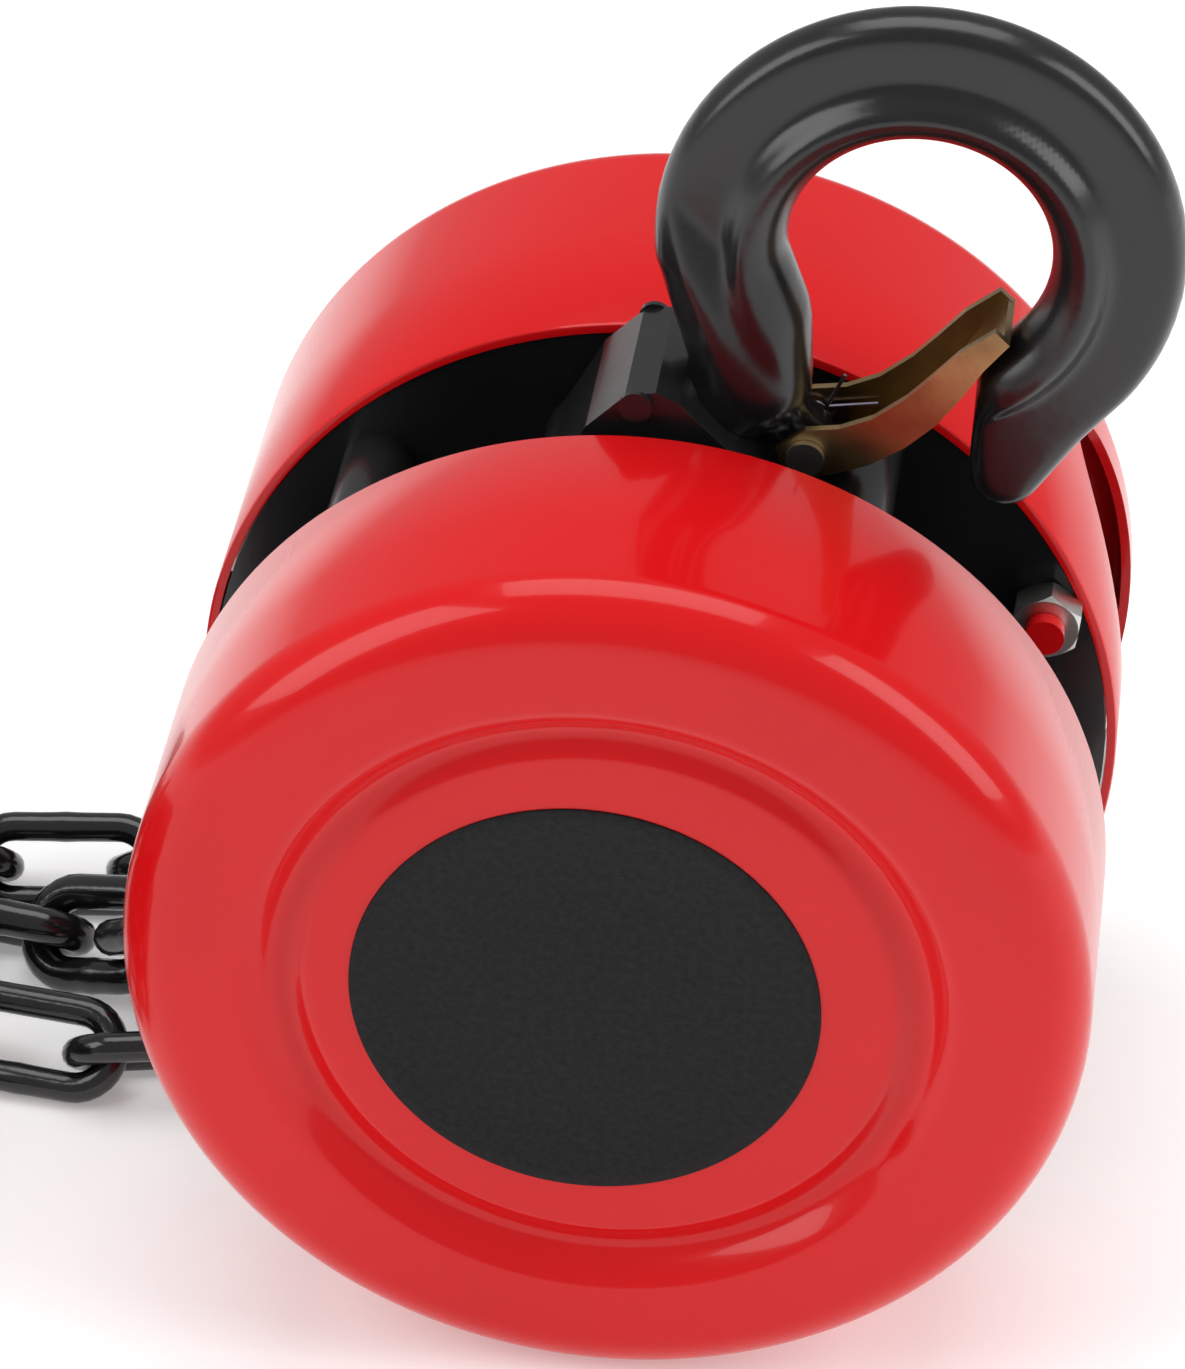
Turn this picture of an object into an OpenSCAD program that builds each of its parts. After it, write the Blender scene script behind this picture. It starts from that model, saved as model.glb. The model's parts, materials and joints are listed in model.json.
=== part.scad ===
// Hand chain hoist: two drawn covers on a frame of side plates and stay rods, a pocketed load
// sheave with a two-stage spur gear train on one side, a ratchet brake and hand wheel on the
// other, a swivelling top hook, and a load chain and hand chain coiled beside it.
// X is to the right, Y runs along the shaft from the gear cover to the hand wheel cover, Z is up.

/* [Covers] */
// Outer radius of both covers
cover_r = 71; // [70.5:0.1:72]
// Sheet thickness of both covers
cover_t = 1.5; // [1.2:0.1:1.8]
// Corner radius between the gear cover's wall and its face
gear_corner = 8.7; // [7:0.1:10]
// Depth of the gear cover's wall behind its corner
gear_wall = 35.4; // [35:0.1:36]
// Corner radius between the hand wheel cover's wall and its face
wheel_corner = 5.5; // [4:0.1:8]
// Place of the hand wheel cover's lip along the shaft
wheel_lip = 65.7; // [65.5:0.1:66]
// Place of the hand wheel cover's outer face along the shaft
wheel_face = 120.7; // [120:0.1:122]
// Radius of the round label
label_r = 34.5; // [30:0.5:36]

/* [Frame] */
// How far the hoist has rolled to the left about its shaft, in degrees
roll = 7; // [6:0.5:8]
// Thickness of the side plates
plate_t = 4; // [3.5:0.1:4]
// Radius of the side plates
plate_r = 69.2; // [68.5:0.1:69.2]
// Radius of the stay rods
stay_r = 5.5; // [5:0.1:5.5]
// Distance of the stay rods from the shaft
stay_at = 60.3; // [60:0.1:60.6]

/* [Gears] */
// Teeth of the pinion on the input shaft
input_teeth = 15; // [15:1:15]
// Teeth of the disc gears that it drives
disc_teeth = 57; // [57:1:57]
// Teeth of the pinions on the disc gears
second_teeth = 12; // [12:1:12]
// Teeth of the load gear
load_teeth = 36; // [36:1:36]
// Module of the first stage
first_module = 1; // [1:1:1]
// Module of the second stage
second_module = 1.5; // [1.5:0.5:1.5]

/* [Chains] */
// Wire diameter of the load chain
load_wire = 6; // [5.8:0.1:6]
// Inside length of a load chain link
load_pitch = 18; // [18:0.1:18.2]
// Links in the load chain
load_links = 120; // [120:2:120]
// Wire diameter of the hand chain
hand_wire = 5; // [4.6:0.1:5]
// Inside length of a hand chain link
hand_pitch = 25; // [25:0.1:25.2]
// Links in the hand chain's loop
hand_links = 120; // [120:2:120]
// Pockets in the load sheave
sheave_pockets = 5; // [5:1:5]
// Pockets in the hand wheel
wheel_pockets = 7; // [7:1:7]

/* [Hooks] */
// Radius of the seat inside a hook's bowl
bowl_r = 18.9; // [18:0.1:20]
// Radial width of a hook's bowl
bowl_w = 19.3; // [18.5:0.1:19.5]
// Thickness of a hook
hook_t = 17.5; // [16:0.1:18]
// Distance from a yoke's pin to the centre of the bowl
hook_reach = 63.6; // [63:0.1:64]
// Lean of the top hook from the hoist's own upright, in degrees
hook_lean = 52.3; // [50:0.1:53]

/* [Hidden] */

red = [0.88, 0.13, 0.14];
black = [0.12, 0.12, 0.12];
steel = [0.62, 0.62, 0.64];
bronze = [0.50, 0.38, 0.22];
fine = 96;
gap = 0.3;          // between curved faces that don't touch
tiny = 0.05;        // running clearance of a shaft in its hole
cut = 1;            // how far a cutter runs past a face

// Layout along the shaft, from the gear cover's corner centre at 0
face_front = -gear_corner;
rear_front = wheel_lip + 0.5;
front_rear = gear_wall;
front_front = front_rear - plate_t;
rear_rear = rear_front + plate_t;
mid = (front_rear + wheel_lip) / 2;

// The row frame's origin is under the middle of the hoist, on the surface it stands on
pin_at = 51.8;
bowl_mid = [
    pin_at * sin(-roll) + hook_reach * sin(hook_lean - roll),
    pin_at * cos(roll) + hook_reach * cos(hook_lean - roll)];
hook_right = bowl_mid[0] + bowl_r + bowl_w;
origin_x = (cover_r - hook_right) / 2;
origin_y = -(face_front + wheel_face) / 2;

module placed() translate([origin_x, origin_y, cover_r]) children();
module rolled() placed() rotate([0, -roll, 0]) children();
// Children stand on the shaft's radius at angle a, counted from the top towards the right
module polar(a, r) rotate([0, a, 0]) translate([0, 0, r]) children();
// Children's Z axis runs along the shaft, from y
module along(y) translate([0, y, 0]) rotate([-90, 0, 0]) children();
// A flat outline in X and Z, t thick, from y
module plate(y, t) translate([0, y + t, 0]) rotate([90, 0, 0]) linear_extrude(t) children();
module rod(y, length, r) along(y) cylinder(length, r = r, $fn = 64);
module hole(y, length, r) rod(y - cut, length + 2 * cut, r);
module hex(y, length, flats)
    along(y) rotate([0, 0, 30]) cylinder(length, r = flats / sqrt(3), $fn = 6);

function unit(v) = v / norm(v);
function around(a, r) = [r * sin(a), r * cos(a)];

// ---- Covers -------------------------------------------------------------------------------

// The face falls from a flat rim into a ring channel and rises again to the label's seat
rim_r = 53.5;
channel_r = 47;
channel_depth = 4.3;
seat_r = 43;
seat_depth = 2.8;
label_t = 0.4;
label_shift = -2.3;

module gear_outline(inset) {
    r = cover_r - inset;
    corner = gear_corner - inset;
    y0 = -gear_corner + inset;
    flat = cover_r - gear_corner;
    square([r, gear_wall]);
    translate([flat, 0]) circle(corner, $fn = fine);
    polygon([
        [0, 1], [0, y0 + seat_depth], [seat_r, y0 + seat_depth],
        [channel_r, y0 + channel_depth], [rim_r - 4, y0 + channel_depth - 2.4],
        [rim_r - 1.6, y0 + 0.5], [rim_r, y0], [flat, y0], [flat, 1]]);
}

module gear_cover() color(red) rolled()
    along(0) rotate_extrude($fn = fine) difference() {
        gear_outline(0);
        gear_outline(cover_t);
        translate([0, gear_wall - tiny]) square([cover_r - cover_t, cut]);
    }

module label_disc() color(black) rolled()
    translate([label_shift, 0, 0]) rod(face_front + seat_depth - label_t, label_t, label_r);

slot_top = 67.5;       // angles of the slots' ends, from the top
slot_bottom = 152;
slot_mid = 96.4;
slot_w = 28;

module wheel_outline() {
    r = cover_r;
    corner = wheel_corner;
    depth = wheel_face - wheel_lip;
    square([r - corner, depth]);
    square([r, depth - corner]);
    translate([r - corner, depth - corner]) circle(corner, $fn = fine);
}

module wheel_inside() {
    r = cover_r - cover_t;
    corner = wheel_corner - cover_t;
    depth = wheel_face - wheel_lip - cover_t + cut;
    square([r - corner, depth]);
    square([r, depth - corner]);
    translate([r - corner, depth - corner]) circle(corner, $fn = fine);
}

module wheel_cover() color(red) rolled() difference() {
    along(wheel_lip) rotate_extrude($fn = fine) difference() {
        wheel_outline();
        translate([0, -cut]) wheel_inside();
    }
    for (side = [-1, 1]) chain_slot(side);
}

// A slot is a sector of the wall with parallel edges, and its upper end narrows to a round nose
module chain_slot(side) {
    wide_from = slot_top + slot_taper;
    intersection() {
        along(slot_mid - slot_w / 2) difference() {
            cylinder(slot_w, r = cover_r + cut, $fn = fine);
            translate([0, 0, -cut]) cylinder(slot_w + 2 * cut, r = cover_r - 12, $fn = fine);
        }
        sector(side, wide_from, slot_bottom);
    }
    polar(side * wide_from, cover_r - 12) linear_extrude(12 + cut) translate([0, slot_mid])
        polygon([for (p = slot_end) [side * p[0], p[1]]]);
}

// Outline of the slot's narrowing upper end, along the wall and along the shaft
slot_taper = 20;
slot_end = [[2, -13.8], [0.5, -13.8], [-5, -12.4], [-10, -10], [-14, -7.6], [-18, -4.6], [-21.5, -1.2],
    [-24, 2.4], [-25, 5.5], [-24.4, 8.2], [-22, 10.6], [-18, 12.2], [-12, 13.2], [-5, 13.8],
    [2, 13.8]];

module sector(side, a, b) {
    far = 2 * cover_r;
    plate(slot_mid - slot_w, 2 * slot_w)
        polygon([[0, 0], for (t = [a : (b - a) / 6 : b + 0.01]) [far * sin(side * t), far * cos(t)]]);
}

stud_r = 3;
stud_at = 64.2;
front_studs = [-100, 100, 200];      // angles from the top
rear_studs = [74.5, 200, 285.5];
nut_flats = 10;
nut_t = 5;

// A stud with the tab that holds it to the inside of a cover's wall
module stud(a, y, length, tab_y) polar(a, stud_at) {
    rod(y, length, stud_r);
    translate([-3, tab_y, 0]) cube([6, 7, cover_r - cover_t - stud_at - 0.05]);
}

module cover_studs() color(red) rolled() {
    for (a = front_studs) stud(a, front_front - 8, 19.5, front_front - 7.8);
    for (a = rear_studs) stud(a, rear_front - nut_t - 2.5, 20, rear_rear + 0.8);
}

module nut(y, flats, t, r) difference() {
    intersection() {
        hex(y, t, flats);
        along(y) rotate_extrude($fn = 64)
            polygon([[0, 0], [flats / 2, 0], [flats / 2 + 0.9, 0.8],
                [flats / 2 + 0.9, t - 0.8], [flats / 2, t], [0, t]]);
    }
    hole(y, t, r);
}

module cover_nuts() color(steel) rolled() {
    for (a = front_studs) polar(a, stud_at) nut(front_rear, nut_flats, nut_t, stud_r + tiny);
    for (a = rear_studs)
        polar(a, stud_at) nut(rear_front - nut_t, nut_flats, nut_t, stud_r + tiny);
}

// ---- Frame --------------------------------------------------------------------------------

stay_angles = [-38, 38, 180];
stay_end_r = 4;
anchor_a = 150.5;
anchor_at = 57.2;
guide_a = [-100, 114];
guide_at = 48;
pivot_a = [-52, 128];
pivot_at = 46;
bearing_r = 19;
journal_r = 12;
boss_r = 24;
boss_t = 4;
shaft_gap = (input_teeth + disc_teeth) * first_module / 2;
spacer_at = [[-18, -46], [18, -46], [-18, 46], [18, 46]];

module side_plate(y, boss_y, studs) difference() {
    union() {
        rod(y, plate_t, plate_r);
        rod(boss_y, boss_t, boss_r);
    }
    hole(min(y, boss_y), plate_t + boss_t, bearing_r + tiny);
    for (a = stay_angles) polar(a, stay_at) hole(y, plate_t, stay_end_r + tiny);
    for (a = studs) polar(a, stud_at) hole(y, plate_t, stud_r + tiny);
    polar(0, pin_at) hole(y, plate_t, pin_r + tiny);
    polar(anchor_a, anchor_at) hole(y, plate_t, anchor_r + tiny);
    for (a = guide_a) polar(a, guide_at) hole(y, plate_t, guide_pin_r + tiny);
    children();
}

module front_plate() color(black) rolled()
    side_plate(front_front, front_front - boss_t, front_studs) {
        for (side = [-1, 1]) translate([side * shaft_gap, 0, 0]) hole(front_front, plate_t, bush_r);
        for (p = spacer_at)
            translate([p[0], 0, p[1]]) hole(front_front, plate_t, spacer_hole_r + tiny);
    }

module rear_plate() color(black) rolled()
    side_plate(rear_front, rear_rear, rear_studs)
        for (a = pivot_a) polar(a, pivot_at) hole(rear_front, plate_t, pawl_pin_r + tiny);

module stay_rods() color(black) rolled() for (a = stay_angles) polar(a, stay_at) {
    rod(front_rear, rear_front - front_rear, stay_r);
    rod(front_front - 6.5, rear_rear - front_front + 13, stay_end_r);
}

module stay_nuts() color(steel) rolled() for (a = stay_angles) polar(a, stay_at) {
    nut(front_front - 5, 12, 5, stay_end_r + tiny);
    nut(rear_rear, 12, 5, stay_end_r + tiny);
}

pin_r = 5;
anchor_r = 3.5;

module headed_pin(r, head) {
    rod(front_front - 2.5, rear_rear - front_front + 4, r);
    rod(front_front - 2.5, 2.4, head);
}

module top_pin() color(steel) rolled() polar(0, pin_at) headed_pin(pin_r, 7);
module anchor_pin() color(steel) rolled() polar(anchor_a, anchor_at) headed_pin(anchor_r, 5.5);

guide_pin_r = 3;
guide_r = 6;

module guide_pins() color(steel) rolled() for (a = guide_a) polar(a, guide_at)
    headed_pin(guide_pin_r, 4.5);

module guide_roller(a) color(steel) rolled() polar(a, guide_at) difference() {
    rod(front_rear + 0.6, rear_front - front_rear - 1.2, guide_r);
    hole(front_rear, rear_front - front_rear, guide_pin_r + tiny);
}

module guide_roller_left() guide_roller(guide_a[0]);
module guide_roller_right() guide_roller(guide_a[1]);

stripper_w = 15;

module chain_stripper() color(black) placed() difference() {
    union() {
        translate([-stripper_w / 2, front_rear, -50])
            cube([stripper_w, rear_front - front_rear, 14]);
        translate([-stripper_w / 2, mid - 3, -40]) cube([stripper_w, 6, 22]);
    }
    hole(mid - 3, 6, groove_r + 2.5);
}

// ---- Gears --------------------------------------------------------------------------------

pressure = 25;
backlash = 0.12;     // taken off each tooth, times the module

function inv(a) = tan(a) * 180 / PI - a;
function base_r(z, m) = z * m / 2 * cos(pressure);
function half_tooth(z, m, r) = 90 / z * (1 - backlash * 2 / PI) + inv(pressure)
    - inv(acos(min(1, base_r(z, m) / r)));

// Involute gear outline with a tooth at angle phase, counted like polar()
module gear_2d(z, m, phase) {
    root = z * m / 2 - 1.2 * m;
    tip = z * m / 2 + 0.92 * m;
    start = max(base_r(z, m), root + 0.1 * m);
    radii = [start, (start + z * m / 2) / 2, z * m / 2, tip];
    polygon([for (k = [0 : z - 1])
        let (a = phase + 360 / z * k) each concat(
            [around(a - half_tooth(z, m, start) - 0.5, root)],
            [for (r = radii) around(a - half_tooth(z, m, r), r)],
            [for (i = [3 : -1 : 0]) around(a + half_tooth(z, m, radii[i]), radii[i])],
            [around(a + half_tooth(z, m, start) + 0.5, root)])]);
}

gear_plate_y = 0.8;
gear_plate_t = 4;
first_y = 5.6;
first_t = 6;
second_y = 12.2;
second_t = 13.5;
bush_r = 6.5;
disc_shaft_r = 4.5;
spacer_r = 5;
spacer_hole_r = 3;
input_end_r = 4;
load_gear_y = 13;
load_gear_t = 12;

module gear_plate() color(steel) rolled() difference() {
    rod(gear_plate_y, gear_plate_t, 56);
    hole(gear_plate_y, gear_plate_t, input_end_r + tiny);
    for (side = [-1, 1]) translate([side * shaft_gap, 0, 0])
        hole(gear_plate_y, gear_plate_t, disc_shaft_r + tiny);
    for (p = spacer_at)
        translate([p[0], 0, p[1]]) hole(gear_plate_y, gear_plate_t, spacer_hole_r + tiny);
}

module gear_spacers() color(steel) rolled() for (p = spacer_at) translate([p[0], 0, p[1]])
    difference() {
        y = gear_plate_y + gear_plate_t;
        rod(y, front_front - y, spacer_r);
        hole(y, front_front - y, spacer_hole_r + tiny);
    }

module gear_screws() color(steel) rolled() for (p = spacer_at) translate([p[0], 0, p[1]]) {
    rod(gear_plate_y, front_rear - gear_plate_y - 0.2, spacer_hole_r);
    rod(gear_plate_y - 2, 2, 4.8);
}

module sheave_bearings() color(steel) rolled() {
    for (y = [front_front - boss_t, rear_front]) difference() {
        rod(y, plate_t + boss_t, bearing_r);
        hole(y, plate_t + boss_t, journal_r + tiny);
    }
}

module gear_bushes() color(bronze) rolled()
    for (side = [-1, 1]) translate([side * shaft_gap, 0, 0]) difference() {
        rod(front_front, plate_t, bush_r);
        hole(front_front, plate_t, disc_shaft_r + tiny);
    }

module load_gear() color(steel) rolled() difference() {
    plate(load_gear_y, load_gear_t) gear_2d(load_teeth, second_module, 0);
    hole(load_gear_y, load_gear_t, journal_r - 1.45);
}

module load_gear_ring() color(steel) rolled() difference() {
    rod(load_gear_y - 0.7, 0.65, journal_r);
    hole(load_gear_y - 0.7, 0.65, journal_r - 1.45);
}

// The disc gears face the input pinion with a gap on the right and a tooth on the left
disc_step = 360 / disc_teeth;
module disc_gear(side) {
    phase = side > 0 ? 270 + disc_step / 2 : 90;
    translate([side * shaft_gap, 0, 0]) {
        plate(first_y, first_t) gear_2d(disc_teeth, first_module, phase);
        plate(second_y - 0.6, second_t + 0.6)
            gear_2d(second_teeth, second_module, 180 / second_teeth);
        rod(gear_plate_y, front_rear - gear_plate_y - 0.3, disc_shaft_r);
    }
}

module disc_gear_left() color(steel) rolled() disc_gear(-1);
module disc_gear_right() color(steel) rolled() disc_gear(1);

// ---- Load sheave, brake and hand wheel --------------------------------------------------------

load_step = 2 * PI * 27 / (2 * sheave_pockets);   // of one link along the chain's path
sheave_r = load_step * 2 * sheave_pockets / (2 * PI);
load_w = 20;                                      // outside width of a load chain link
groove_r = sheave_r * cos(18) - load_w / 2 - 0.5;
sheave_bore = 6.6;
sheave_y = front_rear + 1.3;
sheave_end = rear_front - 1.3;
shaft_r = 6.2;

module pocket(r, wire, pitch, width) {
    floor_r = r - wire / 2 - gap - 0.25;
    length = pitch + 2 * wire + 0.8;
    translate([-length / 2, -width / 2 - 0.4, floor_r]) cube([length, width + 0.8, 20]);
}

module load_sheave() color(steel) placed() difference() {
    union() {
        along(sheave_y) rotate_extrude($fn = fine) {
            half = (sheave_end - sheave_y) / 2;
            polygon([
                [sheave_bore, 0], [32.5, 0], [33.5, 1], [33.5, 2.5], [32, half - 10.8],
                [29.4, half - 10.6], [29.4, half - 4], [groove_r, half - 4], [groove_r, half + 4],
                [29.4, half + 4], [29.4, half + 10.6], [32, half + 10.8], [33.5, 2 * half - 2.5],
                [33.5, 2 * half - 1], [32.5, 2 * half], [sheave_bore, 2 * half]]);
        }
        difference() {
            rod(front_front - boss_t, rear_rear + boss_t - front_front + boss_t, journal_r);
            hole(front_front - boss_t, rear_rear + 2 * boss_t - front_front, sheave_bore);
            rod(sheave_y, sheave_end - sheave_y, journal_r + cut);
        }
        difference() {
            rod(load_gear_y - 0.7, front_front - boss_t - load_gear_y + 0.7, journal_r - 1.5);
            hole(load_gear_y - 0.7, front_front - boss_t - load_gear_y + 0.7, sheave_bore);
        }
    }
    for (k = [0 : sheave_pockets - 1])
        polar(sheave_phase + 360 / sheave_pockets * k, 0) translate([0, mid, 0])
            pocket(sheave_r * cos(18), load_wire, load_pitch, load_w);
}

hub_y = rear_rear + boss_t + 0.6;
hub_flange_t = 4;
lining_t = 2;
ratchet_t = 5;
lining1_y = hub_y + hub_flange_t;
ratchet_y = lining1_y + lining_t + 0.1;
lining2_y = ratchet_y + ratchet_t + 0.1;
wheel_hub_y = lining2_y + lining_t;
hub_r = 11;
castle_y = 105;
shaft_end = 114.5;
shaft_tip_r = 5.5;

module input_shaft() color(steel) rolled() difference() {
    union() {
        plate(first_y - 0.3, first_t + 0.5) gear_2d(input_teeth, first_module, 90);
        rod(gear_plate_y, first_y - 0.3 - gear_plate_y, input_end_r);
        rod(first_y + first_t, castle_y - first_y - first_t, shaft_r - 0.1);
        rod(castle_y, shaft_end - castle_y, shaft_tip_r);
    }
    translate([0, castle_y + 6.2, -20]) cylinder(40, r = 1.3, $fn = 32);
}

module brake_hub() color(steel) rolled() difference() {
    union() {
        rod(hub_y, hub_flange_t, 25);
        rod(hub_y + hub_flange_t, lining2_y + lining_t - hub_y - hub_flange_t - 0.1, hub_r);
    }
    hole(hub_y, 30, shaft_r - 0.1);
}

module friction_plates() color([0.35, 0.25, 0.18]) rolled() for (y = [lining1_y, lining2_y])
    difference() {
        rod(y, lining_t, 26);
        hole(y, lining_t, hub_r);
    }

ratchet_teeth = 12;
ratchet_r = 34;
ratchet_root = 29.5;
ratchet_phase = 16;   // a steep face stands just ahead of each pawl's nose

module ratchet_disc() color(steel) rolled() difference() {
    plate(ratchet_y, ratchet_t) polygon([for (k = [0 : ratchet_teeth - 1])
        let (a = 360 / ratchet_teeth * k + ratchet_phase)
        each [around(a, ratchet_root), around(a + 1, ratchet_r), around(a + 4, ratchet_r)]]);
    hole(ratchet_y, ratchet_t, hub_r + tiny);
}

hand_step_turn = 360 / (2 * wheel_pockets);
wheel_chain_r = 54.4;
chord_r = wheel_chain_r * cos(hand_step_turn / 2);
wheel_mid = slot_mid;
rim_half = 11.7;

module hand_wheel() color(steel) placed() difference() {
    union() {
        along(wheel_mid - rim_half) rotate_extrude($fn = fine) difference() {
            translate([42, 0]) square([21, 2 * rim_half]);
            translate([57.5, rim_half - 9.3]) square([10, 18.6]);
            translate([chord_r - hand_w / 2 - 0.6, rim_half - 3.1]) square([20, 6.2]);
        }
        rod(wheel_mid - 3.5, 6, 43);
        rod(wheel_hub_y, castle_y - wheel_hub_y - 0.1, 16);
        rod(wheel_hub_y, 4, 27);
    }
    hole(wheel_hub_y, 40, shaft_r - 0.1);
    for (k = [0 : 5]) polar(60 * k, 35) hole(wheel_hub_y, 30, 5.5);
    for (k = [0 : wheel_pockets - 1])
        polar(wheel_phase + 360 / wheel_pockets * k, 0) translate([0, wheel_mid, 0])
            pocket(chord_r, hand_wire, hand_pitch, hand_w);
}

module castle_nut() color(steel) rolled() difference() {
    hex(castle_y, 8, 19);
    hole(castle_y, 8, shaft_tip_r);
    for (k = [0 : 2]) rotate([0, 60 * k, 0])
        translate([-1.6, castle_y + 4.6, -20]) cube([3.2, 10, 40]);
}

module split_pin() color(steel) rolled() {
    translate([0, castle_y + 6.2, -13]) cylinder(26, r = 1.1, $fn = 32);
    translate([0, castle_y + 6.2, 14.4]) rotate([0, 90, 0])
        rotate_extrude($fn = 32) translate([2, 0]) circle(1, $fn = 24);
}

pawl_pin_r = 3;
pawl_y = ratchet_y + 0.3;
pawl_t = 3;

// A pawl in polar places about the shaft, with its pivot at angle 0; its nose rides just over the
// tooth crests
nose_r = ratchet_r + 0.7;
pawl_shape = [[-23.4, nose_r], [-28, nose_r + 0.9], [-28.5, 38.6], [-20, 43.5], [-8, 49],
    [3, 50.5], [6, 46], [-3, 41.5], [-14, 38.6], [-22.6, 38.2]];

module pawl(a) polar(a, 0) difference() {
    union() {
        plate(pawl_y, pawl_t) polygon([for (p = pawl_shape) around(p[0], p[1])]);
        translate([0, 0, pivot_at]) rod(pawl_y, pawl_t, 5.4);
    }
    translate([0, 0, pivot_at]) hole(pawl_y, pawl_t, pawl_pin_r + tiny);
}

module pawl_left() color(steel) rolled() pawl(pivot_a[0]);
module pawl_right() color(steel) rolled() pawl(pivot_a[1]);

module pawl_pins() color(steel) rolled() for (a = pivot_a) polar(a, pivot_at) {
    rod(rear_front, pawl_y + pawl_t + 0.1 - rear_front, pawl_pin_r);
    rod(rear_rear, pawl_y - rear_rear - 0.6, 4.2);
}

// A wire of radius r swept along points; ref is never parallel to the wire
module wire(points, r, ref, sides = 8) {
    n = len(points);
    rings = [for (i = [0 : n - 1]) let (
        t = unit(points[min(i + 1, n - 1)] - points[max(i - 1, 0)]),
        u = unit(cross(t, ref)), v = cross(t, u))
        for (k = [0 : sides - 1])
            points[i] + r * (cos(360 / sides * k) * u + sin(360 / sides * k) * v)];
    polyhedron(rings, concat(
        [[for (k = [0 : sides - 1]) k]],
        [for (i = [0 : n - 2], k = [0 : sides - 1]) let (a = i * sides, b = (k + 1) % sides)
            [a + k, a + sides + k, a + sides + b, a + b]],
        [[for (k = [sides - 1 : -1 : 0]) (n - 1) * sides + k]]), convexity = 6);
}

// Torsion spring round a pivot: legs and a coil along Y
function coil_spring(r, turns, rise, leg_a, leg_b) = concat(
    [[leg_a[0], 0, leg_a[1]]],
    [for (a = [0 : 20 : 360 * turns]) [r * sin(a), rise * a / 360, r * cos(a)]],
    [[leg_b[0], rise * turns, leg_b[1]]]);

module pawl_springs() color(steel) rolled() for (a = pivot_a) polar(a, pivot_at)
    translate([0, rear_rear + 1.5, 0])
        wire(coil_spring(5.4, 3, 1.6, [-10, 5.4], [12, 5.4]), 0.6, [0, 1, 0], 6);

// ---- Hooks --------------------------------------------------------------------------------
// A hook's own frame: the yoke's pin is at the origin along Y, the shank rises along Z and the
// throat opens to the right. Its middle plane is Y = 0.

yoke_half = 12;        // half the thickness of a yoke across both halves
yoke_w = 14;
yoke_top = 25;
shank_r = 7.5;
collar_r = 10.8;
collar_z = 13;
collar_t = 4.5;
neck_r = 8.6;
bead_r = hook_t / 2;
web_r = 5.6;
nose_angle = 100;

// Bowl section, from the seat outwards: a thick inner bead, a web and a rounder outer edge
module bowl_section() {
    translate([bowl_r + bead_r, 0]) circle(bead_r, $fn = 64);
    translate([bowl_r + bowl_w - web_r, 0]) circle(web_r, $fn = 48);
    polygon([
        [bowl_r + bead_r, -bead_r + 0.6], [bowl_r + bowl_w - web_r, -web_r],
        [bowl_r + bowl_w - web_r, web_r], [bowl_r + bead_r, bead_r - 0.6]]);
}

module ball(u, z, r) translate([u, 0, z]) sphere(r, $fn = 24);

// Angle on the bowl counted from straight down, towards the throat's tip
function on_bowl(a, r) = [r * sin(a), hook_reach - r * cos(a)];

module hook() {
    // The bowl's plain ring, from the neck round to the start of the nose
    translate([0, 0, hook_reach]) rotate([90, 0, 0])
        rotate([0, 0, nose_angle - 90])
            rotate_extrude(angle = 322 - nose_angle, $fn = fine) bowl_section();
    // The neck grows from the shank into the bowl
    hull() {
        ball(0, 31, neck_r);
        ball(-7.5, 38, 8.5);
        ball(on_bowl(-40, bowl_r + bead_r)[0], on_bowl(-40, bowl_r + bead_r)[1], bead_r);
        ball(on_bowl(-34, 32)[0], on_bowl(-34, 32)[1], 5.6);
    }
    hull() {
        ball(on_bowl(-36, bowl_r + bead_r)[0], on_bowl(-36, bowl_r + bead_r)[1], bead_r);
        ball(on_bowl(-60, 32.4)[0], on_bowl(-60, 32.4)[1], 5.6);
        ball(on_bowl(-56, bowl_r + bead_r)[0], on_bowl(-56, bowl_r + bead_r)[1], bead_r);
    }
    // The nose runs on straight to the tip
    hull() {
        for (r = [bowl_r + bead_r, bowl_r + bowl_w - web_r])
            ball(on_bowl(99, r)[0], on_bowl(99, r)[1], r < 30 ? bead_r : web_r);
        ball(on_bowl(84, bowl_r + 8.2)[0], on_bowl(84, bowl_r + 8.2)[1], 8);
        ball(on_bowl(83, 33.5)[0], on_bowl(83, 33.5)[1], 5.4);
    }
    hull() {
        ball(on_bowl(84, bowl_r + 8.2)[0], on_bowl(84, bowl_r + 8.2)[1], 8);
        ball(on_bowl(83, 33.5)[0], on_bowl(83, 33.5)[1], 5.4);
        ball(on_bowl(66, 38.8)[0], on_bowl(66, 38.8)[1], 5.6);
    }
    translate([0, 0, collar_z + collar_t]) cylinder(31 - collar_z - collar_t, r = shank_r, $fn = 64);
    translate([0, 0, collar_z]) cylinder(collar_t, r = collar_r, $fn = 64);
    // Lug for the latch's rivet
    difference() {
        union() {
            translate([4, -lug_half, latch_z - 3.6]) cube([latch_x - 4, 2 * lug_half, 7.2]);
            translate([latch_x, 0, latch_z]) rod(-lug_half, 2 * lug_half, 3.6);
        }
        translate([latch_x, 0, latch_z]) hole(-lug_half, 2 * lug_half, rivet_r + tiny);
    }
}

latch_x = 12.5;
latch_z = 30;
lug_half = 3.2;
rivet_r = 1.8;
latch_half = 6.4;
latch_t = 1.2;

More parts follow.
